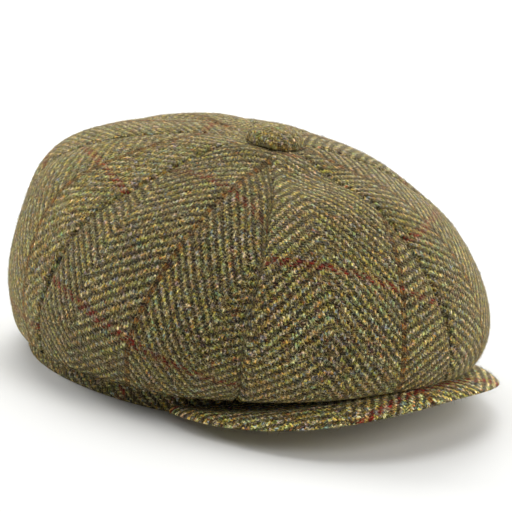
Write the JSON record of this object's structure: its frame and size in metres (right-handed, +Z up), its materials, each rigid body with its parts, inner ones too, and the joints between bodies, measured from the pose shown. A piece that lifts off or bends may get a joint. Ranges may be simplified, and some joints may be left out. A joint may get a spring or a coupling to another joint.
{
  "type": "eight-panel newsboy flat cap in herringbone tweed",
  "caption": "Soft peaked cap: a full crown of wedge panels gathered under a cloth-covered button, overhanging a headband and a short arched peak.",
  "frame": {"origin": "centre of the head opening, on the plane that the headband's rim rests on", "axes": "+Z up through the crown, +Y to the back, so the peak is at -Y; +X to the wearer's left"},
  "size_m": [0.2208, 0.2645, 0.1311],
  "materials": {
    "crown": "napped herringbone wool tweed, olive and dark brown with a deep red overcheck",
    "headband": "herringbone wool tweed, folded",
    "button": "herringbone wool tweed, gathered over a button",
    "peak": "herringbone wool tweed over a stiff board"
  },
  "bodies": {
    "root": {"crown_panel_front_left": "crown", "crown_panel_left_front": "crown", "crown_panel_left_back": "crown", "crown_panel_back_left": "crown", "crown_panel_back_right": "crown", "crown_panel_right_back": "crown", "crown_panel_right_front": "crown", "crown_panel_front_right": "crown", "headband": "headband", "top_button": "button", "peak": "peak"}
  },
  "joints": []
}
